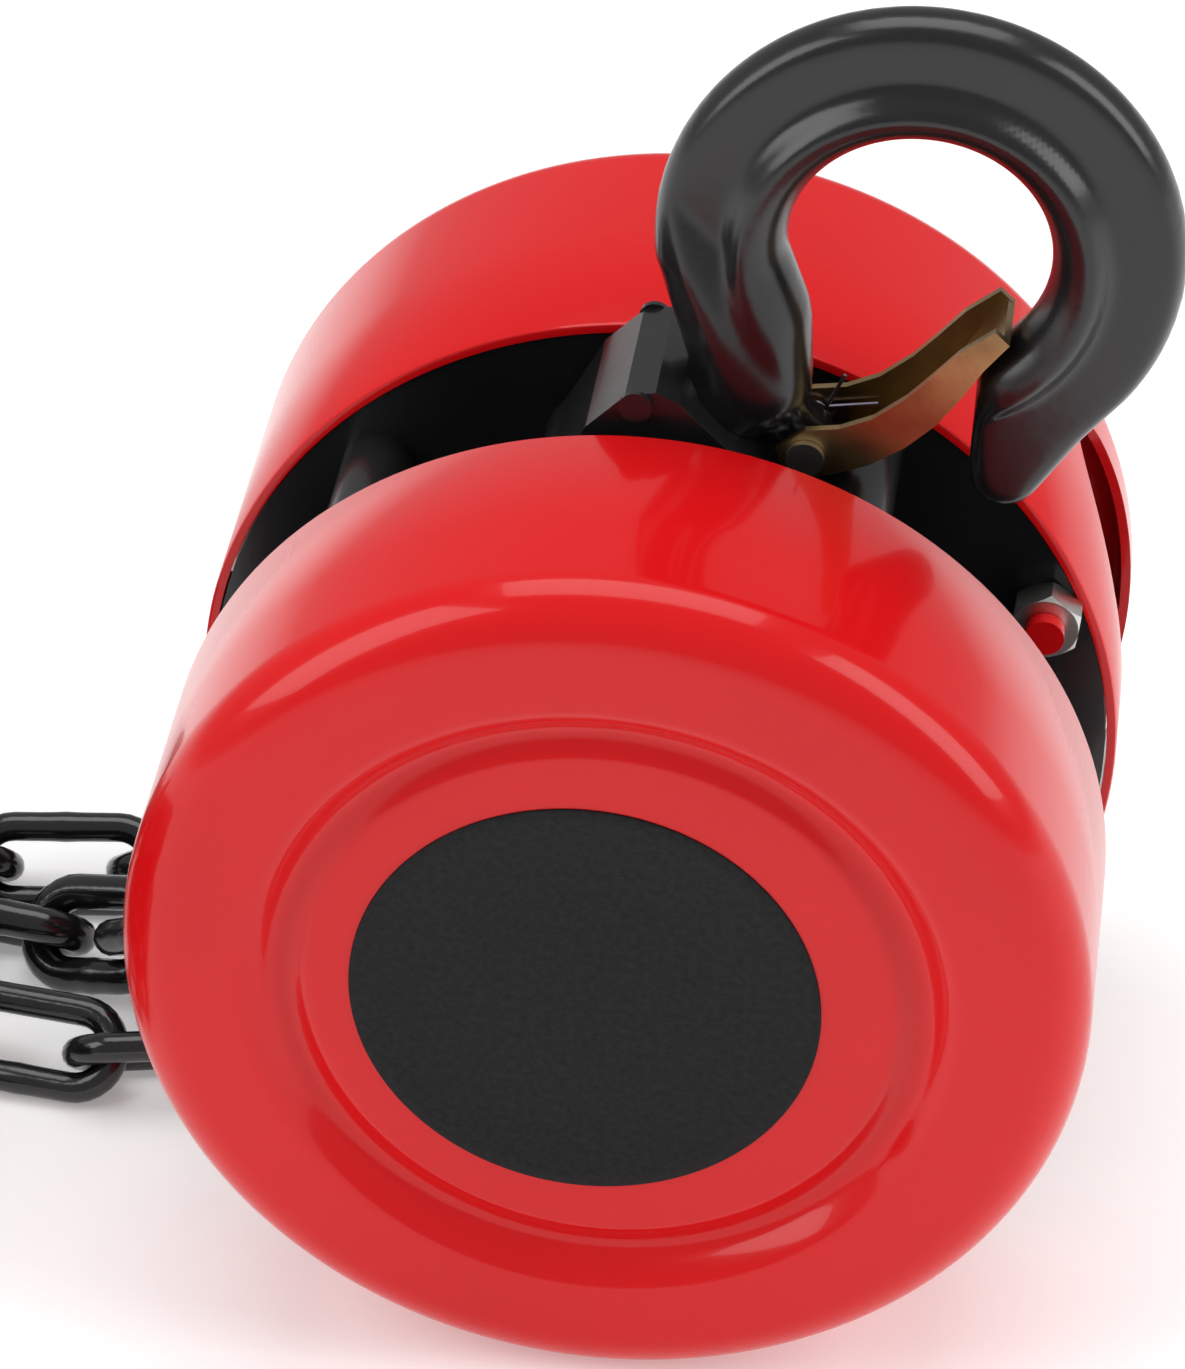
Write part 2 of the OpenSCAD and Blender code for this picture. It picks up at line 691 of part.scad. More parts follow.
// Side outline of the latch: a curved cheek that widens towards its far end
latch_cheek = [
    [8.7, 27.6], [11.6, 26.2], [15, 27.2], [17.4, 31], [19.6, 36], [20.8, 42], [20.9, 48],
    [19.9, 54], [18.6, 59.5], [17.9, 65.2], [14.9, 65.2], [14.2, 59], [14.6, 53], [14.8, 48],
    [14.2, 42], [12.3, 37], [9.3, 33]];
latch_web = [
    [18.3, 33], [19.6, 36], [20.8, 42], [20.9, 48], [19.9, 54], [18.6, 59.5], [17.9, 65.2],
    [16.7, 65.1], [17.4, 59.4], [18.7, 53.8], [19.7, 48], [19.6, 42.2], [18.5, 36.5],
    [17, 33]];

module latch() difference() {
    union() {
        for (y = [-latch_half, latch_half - latch_t]) plate(y, latch_t) polygon(latch_cheek);
        plate(-latch_half, 2 * latch_half) polygon(latch_web);
    }
    translate([latch_x, 0, latch_z]) hole(-latch_half, 2 * latch_half, rivet_r + tiny);
}

module latch_rivet() translate([latch_x, 0, latch_z]) {
    rod(-latch_half - 1, 2 * latch_half + 2, rivet_r);
    for (y = [-latch_half - 1.2, latch_half + 0.1]) rod(y, 1.1, 2.8);
}

module latch_spring() translate([latch_x, lug_half + 0.45, latch_z])
    wire(coil_spring(2.7, 1, 0.75, [-2.4, 9], [4.6, 9]), 0.3, [0, 1, 0], 6);

// One half of a yoke, on the side of Y given by side, with the pocket that holds the collar
module yoke_part(side, half, pin_hole) difference() {
    intersection() {
        union() {
            rod(-half, 2 * half, 10.5);
            plate(-half, 2 * half) polygon([
                [-10.5, 0], [10.5, 0], [yoke_w, 12], [yoke_w, yoke_top - 5],
                [yoke_w - 2.5, yoke_top - 1.2], [yoke_w - 6, yoke_top], [-yoke_w + 6, yoke_top],
                [-yoke_w + 2.5, yoke_top - 1.2], [-yoke_w, yoke_top - 5], [-yoke_w, 12]]);
        }
        translate([-20, side > 0 ? 0 : -half, -20]) cube([40, half, 60]);
    }
    hole(-half, 2 * half, pin_hole + 0.08);
    translate([0, 0, collar_z - 0.3]) cylinder(collar_t + 0.6, r = collar_r + 0.1, $fn = 64);
    translate([0, 0, collar_z]) cylinder(20, r = shank_r + tiny, $fn = 64);
    for (p = yoke_rivet_at) translate([p[0], 0, p[1]]) hole(-half, 2 * half, yoke_rivet_r);
    children();
}

yoke_rivet_r = 1.4;
yoke_rivet_at = [[-11.9, 20.2], [11.9, 20.2]];

module yoke_rivets(half) for (p = yoke_rivet_at) translate([p[0], 0, p[1]]) {
    rod(-half - 0.8, 2 * half + 1.6, yoke_rivet_r);
    for (y = [-half - 0.9, half]) rod(y, 0.9, 2.4);
}

module top_frame() rolled() polar(0, pin_at) translate([0, mid, 0]) rotate([0, hook_lean, 0])
    children();

module top_yoke_front() color(black) top_frame() yoke_part(-1, yoke_half, pin_r);
module top_yoke_rear() color(black) top_frame() yoke_part(1, yoke_half, pin_r);
module top_yoke_rivets() color(black) top_frame() yoke_rivets(yoke_half);
module top_hook() color(black) top_frame() hook();
module top_latch() color(bronze) top_frame() latch();
module top_latch_rivet() color(steel) top_frame() latch_rivet();
module top_latch_spring() color(steel) top_frame() latch_spring();

// ---- Chains -------------------------------------------------------------------------------

// Points on a smooth curve through q, with n steps between each two
function between(a, b, c, d, t) = 0.5 * (2 * b + (c - a) * t
    + (2 * a - 5 * b + 4 * c - d) * t * t + (3 * b - a - 3 * c + d) * t * t * t);
function smooth(q, n = 6) = [for (i = [0 : len(q) - 2], k = [0 : n - 1])
    between(q[max(i - 1, 0)], q[i], q[i + 1], q[min(i + 2, len(q) - 1)], k / n)];

// A flat coil of two layers about c: in along the lower one, up at the middle and out on top,
// where it runs on through angle out. turn is 1 against the clock seen from above
function coil(c, r_out, r_in, turns, first, turn, z, lift, out) = let (slope = (r_out - r_in)
    / (360 * turns)) concat(
    [for (a = [0 : 12 : 360 * turns]) ring_point(c, r_out - slope * a, first + turn * a, z)],
    [for (a = [12 : 12 : 180])
        ring_point(c, r_in, first + turn * (360 * turns + a), z + lift * a / 180)],
    [for (a = [12 : 12 : out])
        ring_point(c, r_in + slope * a, first + turn * (360 * turns + 180 + a), z + lift)]);
function ring_point(c, r, a, z) = [c[0] + r * cos(a), c[1] + r * sin(a), z];

// Distance along a list of points, and the point at distance s
function lengths(p) = [for (i = 0, s = 0; i < len(p);
    s = s + (i + 1 < len(p) ? norm(p[i + 1] - p[i]) : 0), i = i + 1) s];
function table(p, s, k) = [for (i = [0 : len(p) - 1]) [s[i], p[i][k]]];
function joints(p, step, n) = let (s = lengths(p), x = table(p, s, 0), y = table(p, s, 1),
    z = table(p, s, 2)) [for (i = [0 : n]) [lookup(i * step, x), lookup(i * step, y),
    lookup(i * step, z)]];

function headings(j) = [for (i = [0 : len(j) - 2]) unit(j[i + 1] - j[i])];
// Side vector of each link before its twist: along the shaft outside first to last, level within
function sides(h, first, last) = [for (i = [0 : len(h) - 1]) i < first || i > last
    ? unit([0, 1, 0] - h[i][1] * h[i]) : unit(cross(h[i], [0, 0, 1]))];
function ramp(x) = 45 * min(1, max(0, x));
function final(v) = v[len(v) - 1];

// One link, lying in X and Z with its length along X
module link(wire_d, pitch, width) {
    mean = (width - wire_d) / 2;
    straight = pitch + wire_d - 2 * mean;
    for (side = [-1, 1]) {
        translate([side * straight / 2, 0, 0]) rotate([90, 0, 0])
            rotate([0, 0, side > 0 ? -90 : 90])
                rotate_extrude(angle = 180, $fn = 48) translate([mean, 0]) circle(wire_d / 2, $fn = 32);
        translate([-straight / 2, 0, side * mean]) rotate([0, 90, 0])
            cylinder(straight, r = wire_d / 2, $fn = 32);
    }
}

// Links first to last of a chain whose joints, headings and side vectors are given; twist is the
// extra turn of each link about its own length
module links(j, h, v, twist, first, last, wire_d, pitch, width)
    for (i = [first : last]) {
        a = twist[i] + 90 * (i % 2);
        w = cross(h[i], v[i]);
        n = cos(a) * v[i] + sin(a) * w;
        up = cross(h[i], n);
        c = (j[i] + j[i + 1]) / 2;
        multmatrix([
            [h[i][0], n[0], up[0], c[0]], [h[i][1], n[1], up[1], c[1]],
            [h[i][2], n[2], up[2], c[2]], [0, 0, 0, 1]])
            link(wire_d, pitch, width);
    }

// Both chains end in one pile: the hand chain's coil lies on the floor, the load chain's on it
pile = [-215, 8];
coil_in = 28;
hand_w = 17.5;
hand_floor = -cover_r + (hand_w - hand_wire) / 2 * sin(45) + hand_wire / 2;
hand_lift = 14.6;
load_floor = -cover_r + (load_w - load_wire) / 2 * sin(45) + load_wire / 2;
load_lift = 16.6;
load_seat = hand_floor + hand_lift + (hand_floor + cover_r) + (load_floor + cover_r) + 0.4;

// Load chain: from its anchor up over the sheave, down to the left and onto the pile
anchor_world = around(anchor_a - roll, anchor_at);
load_up = smooth([[anchor_world[0], mid, anchor_world[1] - 3.1], [32, mid, -30],
    [28.4, mid, -14], [sheave_r, mid, 0]]);
load_entry = final(lengths(concat(load_up, [[sheave_r, mid, 0]])));
load_down = smooth([[-sheave_r, mid, 0], [-27.4, mid, -14], [-31, mid, -30],
    [-42, 52.5, -44], [-57, 56.5, -45], [-70, 65, -47.5], [-82, 74.5, -57],
    [-94, 80.5, load_floor], [-112, 82.3, load_floor], [-128, 83, -58], [-148, 83.6, -45],
    [-168, 84, -35.5], [-190, 84, load_seat], [-215, 84, load_seat]]);
load_tail = smooth([[-250, 76, load_seat + load_lift], [-264, 85, -20], [-279, 97, -29],
    [-291, 112, -40], [-292, 130, -50], [-281, 143, -56.5], [-265, 147, -58],
    [-225, 148, -59.4]]);
load_path = concat(load_up,
    [for (a = [90 : -6 : -84]) [sheave_r * sin(a), mid, sheave_r * cos(a)]],
    load_down, coil(pile, 76, coil_in, 2.6, 90, 1, load_seat, load_lift, 699), load_tail);
load_joints = joints(load_path, load_step, load_links);
load_dirs = headings(load_joints);
load_last = load_links - 1;
load_sides = sides(load_dirs, 14, load_last);
load_twist = [for (i = [0 : load_last]) min(ramp((i - 9) / 3), ramp((load_last - i) / 4))];
sheave_phase = 90 - (1.5 * load_step - load_entry) / sheave_r * 180 / PI;

module load_chain(first, last) color(black) placed()
    links(load_joints, load_dirs, load_sides, load_twist, first, last,
        load_wire, load_pitch, load_w);

module load_chain_on_sheave() load_chain(0, 10);
module load_chain_run() load_chain(11, 21);
// A coil's turns, each as a plain band as high as the turns' links and with as much steel
module bands(radii, width, z, height) color(black) placed() translate([pile[0], pile[1], z])
    for (r = radii) rotate_extrude($fn = fine) translate([r - width / 2, 0])
        square([width, height]);

load_half = load_floor + cover_r;                // half the height of a lying link
hand_half = hand_floor + cover_r;

module load_chain_coil() {
    bands([76], 5.9, load_seat - load_half, 2 * load_half);
    bands([57.5, 39], 5.9, load_seat - load_half, load_lift + 2 * load_half);
}
module load_chain_end() load_chain(111, load_last);

// Hand chain: an endless loop from the right of the hand wheel over its top, out at the left
// along the floor, round the pile and back behind the hoist
hand_down = smooth([[-wheel_chain_r, wheel_mid, 0], [-54.4, wheel_mid, -20],
    [-54.5, 96.2, -42], [-54.6, 94, -53], [-55.2, 87, -60.2], [-56, 76, -63.6],
    [-58.5, 66, hand_floor], [-64, 57, hand_floor], [-75, 51.5, hand_floor],
    [-88, 51.5, hand_floor],
    [-106, 55.5, hand_floor], [-120, 52.5, hand_floor], [-129, 40, hand_floor],
    [-131, 22, hand_floor], [-131, 8, hand_floor]]);
hand_back = smooth([[-205, 84, hand_floor + hand_lift], [-185, 91, hand_floor + hand_lift],
    [-167, 96, hand_floor + 11.6], [-148, 99, hand_floor + 5], [-130, 99.5, hand_floor + 0.5],
    [-112, 99.5, hand_floor], [-96, 101, hand_floor], [-82, 106, hand_floor],
    [-66, 120, -63.2], [-40, 139, -61.8], [-8, 148, -61.8], [22, 144, -61.6],
    [42, 132, -61.6], [52, 116, -61.4], [54, 105, -59.5], [54.6, 98.5, -52.5],
    [54.5, 96.6, -42], [54.4, wheel_mid, -20], [54.4, wheel_mid, 0]]);
hand_path = concat(
    [for (a = [90 : -6 : -84]) [wheel_chain_r * sin(a), wheel_mid, wheel_chain_r * cos(a)]],
    hand_down, coil(pile, 84, coil_in, 3.5, 0, -1, hand_floor, hand_lift, 980), hand_back,
    [[wheel_chain_r, wheel_mid, 0]]);
hand_joints = joints(hand_path, final(lengths(hand_path)) / hand_links, hand_links);
hand_dirs = headings(hand_joints);
hand_last = hand_links - 1;
hand_rise = hand_last - 3;                       // first link that stands up to the wheel again
hand_sides = sides(hand_dirs, 12, hand_rise - 1);
hand_twist = [for (i = [0 : hand_last])
    i < hand_rise ? ramp((i - 8) / 2) + ramp((i - hand_rise + 7) / 6) : 0];
wheel_phase = 90 - 1.5 * hand_step_turn;

module hand_chain(first, last) color(black) placed()
    links(hand_joints, hand_dirs, hand_sides, hand_twist, first, last,
        hand_wire, hand_pitch, hand_w);

module hand_chain_on_wheel() {
    hand_chain(0, 8);
    hand_chain(hand_last - 1, hand_last);
}
module hand_chain_run() hand_chain(9, 14);
module hand_chain_coil() {
    bands([84], 3.7, hand_floor - hand_half, 2 * hand_half);
    bands([68, 52, 36], 3.7, hand_floor - hand_half, hand_lift + 2 * hand_half);
}
module hand_chain_back() hand_chain(105, hand_last - 2);

// ---- Bottom hook --------------------------------------------------------------------------
// It lies on its side on the floor at the load chain's end. The last link lies flat round the
// chain pin, inside a recess of the yoke

bottom_half = 11;
chain_pin_r = 3.4;
recess_half = 3.4;
end_dir = load_dirs[load_last];
end_up = unit(cross(end_dir, load_sides[load_last]));
end_side = cross(end_up, end_dir);
end_pin = (load_joints[load_last] + load_joints[load_links]) / 2
    + (load_pitch / 2 - chain_pin_r - 0.1) * end_dir;

module bottom_frame() placed() multmatrix([
    [end_side[0], end_up[0], end_dir[0], end_pin[0]],
    [end_side[1], end_up[1], end_dir[1], end_pin[1]],
    [end_side[2], end_up[2], end_dir[2], end_pin[2]], [0, 0, 0, 1]]) children();

module bottom_yoke(side) color(black) bottom_frame() yoke_part(side, bottom_half, chain_pin_r) {
    rod(-recess_half, 2 * recess_half, 11);
    translate([-14, -recess_half, -15]) cube([28, 2 * recess_half, 15]);
    translate([-14, -bottom_half - 1, -15]) cube([28, 2 * bottom_half + 2, 8.8]);
}

module bottom_yoke_front() bottom_yoke(-1);
module bottom_yoke_rear() bottom_yoke(1);
module bottom_yoke_rivets() color(black) bottom_frame() yoke_rivets(bottom_half);
module chain_pin() color(steel) bottom_frame()
    rod(-bottom_half - 0.5, 2 * bottom_half + 1, chain_pin_r);
module bottom_hook() color(black) bottom_frame() hook();
module bottom_latch() color(bronze) bottom_frame() latch();
module bottom_latch_rivet() color(steel) bottom_frame() latch_rivet();
module bottom_latch_spring() color(steel) bottom_frame() latch_spring();

gear_cover();
label_disc();
wheel_cover();
cover_studs();
cover_nuts();
front_plate();
rear_plate();
stay_rods();
stay_nuts();
top_pin();
anchor_pin();
gear_plate();
gear_spacers();
gear_screws();
sheave_bearings();
gear_bushes();
load_sheave();
load_gear();
load_gear_ring();
disc_gear_left();
disc_gear_right();
input_shaft();
brake_hub();
friction_plates();
ratchet_disc();
hand_wheel();
castle_nut();
split_pin();
pawl_left();
pawl_right();
pawl_pins();
pawl_springs();
guide_roller_left();
guide_roller_right();
guide_pins();
chain_stripper();
top_yoke_front();
top_yoke_rear();
top_yoke_rivets();
top_hook();
top_latch();
top_latch_rivet();
top_latch_spring();
load_chain_on_sheave();
load_chain_run();
load_chain_coil();
load_chain_end();
hand_chain_on_wheel();
hand_chain_run();
hand_chain_coil();
hand_chain_back();
chain_pin();
bottom_yoke_front();
bottom_yoke_rear();
bottom_yoke_rivets();
bottom_hook();
bottom_latch();
bottom_latch_rivet();
bottom_latch_spring();
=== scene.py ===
"""Looks for the hand chain hoist: finer covers, label, hook and latch, and worn materials."""
import json
import math

import bmesh
import bpy
from mathutils import Matrix, Vector


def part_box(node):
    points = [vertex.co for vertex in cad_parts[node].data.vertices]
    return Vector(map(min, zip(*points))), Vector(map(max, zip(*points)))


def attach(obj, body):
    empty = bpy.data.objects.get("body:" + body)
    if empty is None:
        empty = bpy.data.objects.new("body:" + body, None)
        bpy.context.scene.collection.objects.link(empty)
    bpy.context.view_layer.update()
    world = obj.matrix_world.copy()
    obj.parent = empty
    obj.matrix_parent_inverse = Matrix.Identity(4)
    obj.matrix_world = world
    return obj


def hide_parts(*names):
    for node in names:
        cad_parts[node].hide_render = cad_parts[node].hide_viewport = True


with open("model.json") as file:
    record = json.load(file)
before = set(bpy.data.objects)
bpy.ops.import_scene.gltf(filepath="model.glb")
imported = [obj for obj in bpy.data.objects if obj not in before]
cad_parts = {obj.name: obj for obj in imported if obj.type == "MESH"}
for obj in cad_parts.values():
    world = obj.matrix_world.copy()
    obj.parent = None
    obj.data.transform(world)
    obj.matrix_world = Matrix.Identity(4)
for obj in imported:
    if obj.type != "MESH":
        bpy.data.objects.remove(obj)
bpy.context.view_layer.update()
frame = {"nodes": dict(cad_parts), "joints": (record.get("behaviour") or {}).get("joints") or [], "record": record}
record = frame["record"]
nodes = frame["nodes"]
joints = {j["name"]: j for j in frame["joints"]}
scene = bpy.context.scene
scene.view_settings.view_transform = "Standard"


# ---- Camera -------------------------------------------------------------------------------

cam_data = bpy.data.cameras.new("camera")
cam = bpy.data.objects.new("camera", cam_data)
scene.collection.objects.link(cam)
cam.location = (0.0781, -0.7198, 0.5929)
cam.rotation_euler = (math.radians(54.90), 0, math.radians(7.12))
cam_data.lens = 153.04
cam_data.sensor_width = 36
cam_data.clip_start = 0.01
cam_data.clip_end = 20
scene.camera = cam


# ---- Materials ----------------------------------------------------------------------------

def tint(color, f):
    return tuple(min(1.0, c * f) for c in color[:3]) + (1.0,)


def material(name, color, rough=0.3, metal=0.0, coat=0.0, coat_rough=0.05, vary=0.12,
             grain=60.0, bump=0.05, bump_scale=400.0, spread=0.1, detail=6.0, specular=0.5,
             wear=None):
    """Noise drives the colour, the roughness and the bump; plain numbers sit on the shader."""
    m = bpy.data.materials.new(name)
    m.use_nodes = True
    t = m.node_tree
    b = t.nodes["Principled BSDF"]
    b.inputs["Metallic"].default_value = metal
    b.inputs["Coat Weight"].default_value = coat
    b.inputs["Coat Roughness"].default_value = coat_rough
    b.inputs["Specular IOR Level"].default_value = specular
    where = t.nodes.new("ShaderNodeTexCoord")
    big = t.nodes.new("ShaderNodeTexNoise")
    big.inputs["Scale"].default_value = grain
    big.inputs["Detail"].default_value = detail
    t.links.new(where.outputs["Object"], big.inputs["Vector"])
    ramp = t.nodes.new("ShaderNodeValToRGB")
    ramp.color_ramp.elements[0].position = 0.3
    ramp.color_ramp.elements[1].position = 0.7
    ramp.color_ramp.elements[0].color = tint(color, 1 - vary)
    ramp.color_ramp.elements[1].color = tint(color, 1 + vary)
    t.links.new(big.outputs["Fac"], ramp.inputs["Fac"])
    shade = ramp.outputs["Color"]
    if wear:
        spots = t.nodes.new("ShaderNodeTexNoise")
        spots.inputs["Scale"].default_value = 260
        spots.inputs["Detail"].default_value = 10
        spots.inputs["Roughness"].default_value = 0.75
        t.links.new(where.outputs["Object"], spots.inputs["Vector"])
        cut = t.nodes.new("ShaderNodeValToRGB")
        cut.color_ramp.elements[0].position = 0.66
        cut.color_ramp.elements[1].position = 0.72
        t.links.new(spots.outputs["Fac"], cut.inputs["Fac"])
        mix = t.nodes.new("ShaderNodeMixRGB")
        mix.inputs["Color2"].default_value = tuple(wear) + (1,)
        t.links.new(cut.outputs["Color"], mix.inputs["Fac"])
        t.links.new(shade, mix.inputs["Color1"])
        shade = mix.outputs["Color"]
    t.links.new(shade, b.inputs["Base Color"])
    span = t.nodes.new("ShaderNodeMapRange")
    span.inputs["To Min"].default_value = max(0.02, rough - spread)
    span.inputs["To Max"].default_value = rough + spread
    t.links.new(big.outputs["Fac"], span.inputs["Value"])
    t.links.new(span.outputs["Result"], b.inputs["Roughness"])
    small = t.nodes.new("ShaderNodeTexNoise")
    small.inputs["Scale"].default_value = bump_scale
    small.inputs["Detail"].default_value = 3
    t.links.new(where.outputs["Object"], small.inputs["Vector"])
    lift = t.nodes.new("ShaderNodeBump")
    lift.inputs["Strength"].default_value = bump
    lift.inputs["Distance"].default_value = 0.0004
    t.links.new(small.outputs["Fac"], lift.inputs["Height"])
    t.links.new(lift.outputs["Normal"], b.inputs["Normal"])
    return m


mats = {
    "red_paint": material("red_enamel", (0.66, 0.005, 0.007), 0.2, coat=0.3, coat_rough=0.03,
                          vary=0.05, grain=14, bump=0.06, bump_scale=170, spread=0.05,
                          specular=0.18),
    "label": material("label_film", (0.010, 0.010, 0.011), 0.5, vary=0.5, grain=900, bump=0.3,
                      bump_scale=2600, spread=0.08, specular=0.15),
    "zinc": material("zinc_plate", (0.62, 0.61, 0.58), 0.32, metal=1.0, vary=0.14, grain=120),
    "black_paint": material("black_enamel", (0.010, 0.010, 0.011), 0.24, coat=0.1, vary=0.25,
                            grain=30, bump=0.08, bump_scale=220, spread=0.08),
    "bearing_steel": material("bearing_steel", (0.55, 0.55, 0.56), 0.22, metal=1.0),
    "bronze": material("turned_bronze", (0.5, 0.33, 0.15), 0.3, metal=1.0),
    "gear_steel": material("gear_steel", (0.42, 0.42, 0.44), 0.34, metal=1.0, vary=0.2),
    "cast_steel": material("cast_steel", (0.24, 0.24, 0.25), 0.5, metal=0.9, vary=0.3,
                           grain=90, bump=0.4, bump_scale=700),
    "lining": material("brake_lining", (0.11, 0.08, 0.06), 0.85, vary=0.4, grain=500, bump=0.5,
                       bump_scale=1200),
    "spring_steel": material("spring_wire", (0.3, 0.27, 0.36), 0.3, metal=1.0),
    "hook_black": material("forged_black", (0.008, 0.008, 0.009), 0.26, coat=0.1,
                           coat_rough=0.12, vary=0.4, grain=45, bump=0.22, bump_scale=190,
                           spread=0.08, wear=(0.022, 0.02, 0.02)),
    "latch_gold": material("latch_passivated", (0.33, 0.22, 0.1), 0.36, metal=1.0, vary=0.35,
                           grain=70, bump=0.15, spread=0.12, wear=(0.1, 0.07, 0.05)),
    "chain_black": material("chain_black_oxide", (0.009, 0.009, 0.010), 0.16, coat=0.2,
                            vary=0.4, grain=110, bump=0.2, bump_scale=420, spread=0.08),
}
slot_of = {s["node"]: s["material_slot"] for s in record["subparts"]}
for name, o in nodes.items():
    o.data.materials.clear()
    o.data.materials.append(mats[slot_of[name]])


# ---- Piece helpers ------------------------------------------------------------------------

def piece(name, mesh, slot, body, *replaced):
    o = bpy.data.objects.new(name, mesh)
    scene.collection.objects.link(o)
    mesh.materials.clear()
    mesh.materials.append(mats[slot])
    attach(o, body)
    if replaced:
        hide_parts(*replaced)
    return o


def smooth(mesh, angle=35):
    mesh.polygons.foreach_set("use_smooth", [True] * len(mesh.polygons))
    mesh.set_sharp_from_angle(angle=math.radians(angle))


def lathe(name, profile, centre, tilt, segments=192):
    """A closed profile of (radius, y) turned about the shaft."""
    bm = bmesh.new()
    rings = []
    for k in range(segments):
        a = 2 * math.pi * k / segments + tilt
        rings.append([bm.verts.new((centre[0] + r * math.sin(a), y, centre[2] + r * math.cos(a)))
                      for r, y in profile])
    n = len(profile)
    for k in range(segments):
        p, q = rings[k], rings[(k + 1) % segments]
        for i in range(n):
            j = (i + 1) % n
            bm.faces.new((p[i], p[j], q[j], q[i]))
    bmesh.ops.remove_doubles(bm, verts=bm.verts, dist=1e-7)
    bmesh.ops.recalc_face_normals(bm, faces=bm.faces)
    mesh = bpy.data.meshes.new(name)
    bm.to_mesh(mesh)
    bm.free()
    smooth(mesh)
    return mesh


def spline(points, steps=6):
    """Catmull-Rom through the points, which keeps the ends."""
    out = []
    n = len(points)
    for i in range(n - 1):
        a, b, c, d = (Vector(points[max(i - 1, 0)]), Vector(points[i]), Vector(points[i + 1]),
                      Vector(points[min(i + 2, n - 1)]))
        for k in range(steps):
            t = k / steps
            out.append(0.5 * (2 * b + (c - a) * t + (2 * a - 5 * b + 4 * c - d) * t * t
                              + (3 * b - a - 3 * c + d) * t ** 3))
    out.append(Vector(points[-1]))
    return out


# ---- Covers -------------------------------------------------------------------------------

shaft = Vector(joints["input_shaft_spin"]["pos_m"])
lo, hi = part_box("gear_cover")
R = (hi.x - lo.x) / 2
y0, y1 = lo.y, hi.y
MM = 0.001
wall = 1.5 * MM


def arc(cr, cy, r, a0, a1, n):
    return [(cr + r * math.cos(math.radians(a0 + (a1 - a0) * k / n)),
             cy + r * math.sin(math.radians(a0 + (a1 - a0) * k / n))) for k in range(n + 1)]


face = [Vector((r * MM, y0 + d * MM, 0)) for r, d in (
    (0.0, 2.8), (20, 2.8), (38, 2.8), (41.8, 2.82), (43.2, 2.98), (44.6, 3.7), (45.8, 4.18),
    (47, 4.28), (48.4, 3.7), (49.8, 2.2), (51.2, 0.9), (52.4, 0.22), (53.8, 0.0), (57, 0.0),
    (60, 0.0), (62.3, 0.0))]
outer = [(p.x, p.y) for p in spline(face, 3)]
corner = 8.7 * MM
outer += arc(R - corner, y0 + corner, corner, -90, 0, 18)[1:]
outer += [(R, y0 + 0.3 * (y1 - y0) + corner), (R, y1 - 0.5 * MM), (R - 0.2 * MM, y1 - 0.1 * MM),
          (R - 0.45 * MM, y1)]
inner = [(r, y + wall) for r, y in outer if r <= R - corner]
inner += arc(R - corner, y0 + corner, corner - wall, -90, 0, 14)[1:]
inner += [(R - wall, y0 + 0.5 * (y1 - y0)), (R - wall, y1)]
cover = lathe("gear_cover_skin", outer + inner[::-1], shaft, math.radians(-7))
piece("gear_cover_skin", cover, "red_paint", "hoist_frame", "gear_cover")

# The hand wheel cover is lathed too, and its two chain slots are cut through the wall
lo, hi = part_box("wheel_cover")
w0, w1 = lo.y, hi.y
bend = 5.5 * MM
shell = [(0.0, w1), (R * 0.5, w1)] + arc(R - bend, w1 - bend, bend, 90, 0, 14)
shell += [(R, w1 - 0.5 * (w1 - w0)), (R, w0 + 0.5 * MM), (R - 0.2 * MM, w0 + 0.1 * MM),
          (R - 0.45 * MM, w0), (R - wall, w0), (R - wall, w0 + 0.5 * (w1 - w0))]
shell += arc(R - bend, w1 - bend, bend - wall, 0, 90, 12)
shell += [(R * 0.5, w1 - wall), (0.0, w1 - wall)]
drum = bpy.data.objects.new("wheel_cover_skin", lathe("wheel_cover_skin", shell, shaft,
                                                      math.radians(-7)))
scene.collection.objects.link(drum)
SLOT_END = [(-5, -12.4), (-10, -10), (-14, -7.6), (-18, -4.6), (-21.5, -1.2), (-24, 2.4),
            (-25, 5.5), (-24.4, 8.2), (-22, 10.6), (-18, 12.2), (-12, 13.2), (-5, 13.8)]
SLOT_MID = w0 + (96.4 - 65.7) * MM
SLOT_HALF = 14.0 * MM
for side in (-1, 1):
    loop = [(a, -SLOT_HALF) for a in range(152, 88, -4)]
    for p in spline([(x, y, 0) for x, y in SLOT_END], 4):
        loop.append((87.5 + math.degrees(math.asin(p.x / 71)), p.y * MM))
    loop += [(a, SLOT_HALF) for a in range(92, 153, 4)]
    bm = bmesh.new()
    rows = []
    for r in (0.062, 0.11):
        row = []
        for a, y in loop:
            t = math.radians(side * a - 7)
            row.append(bm.verts.new((shaft.x + r * math.sin(t), SLOT_MID + y,
                                     shaft.z + r * math.cos(t))))
        rows.append(row)
    for i in range(len(loop)):
        j = (i + 1) % len(loop)
        bm.faces.new((rows[0][i], rows[0][j], rows[1][j], rows[1][i]))
    caps = [bm.faces.new(rows[0]), bm.faces.new(rows[1])]
    bmesh.ops.triangulate(bm, faces=caps)
    bmesh.ops.recalc_face_normals(bm, faces=bm.faces)
    cutter_mesh = bpy.data.meshes.new("slot_cutter")
    bm.to_mesh(cutter_mesh)
    bm.free()
    cutter = bpy.data.objects.new("slot_cutter", cutter_mesh)
    scene.collection.objects.link(cutter)
    cut = drum.modifiers.new("slot", "BOOLEAN")
    cut.operation = "DIFFERENCE"
    cut.solver = "EXACT"
    cut.object = cutter
    dg = bpy.context.evaluated_depsgraph_get()
    opened = bpy.data.meshes.new_from_object(drum.evaluated_get(dg))
    drum.modifiers.clear()
    drum.data = opened
    bpy.data.objects.remove(cutter)
drum_mesh = drum.data
bpy.data.objects.remove(drum)
drum_mesh.name = "wheel_cover_skin"
smooth(drum_mesh)
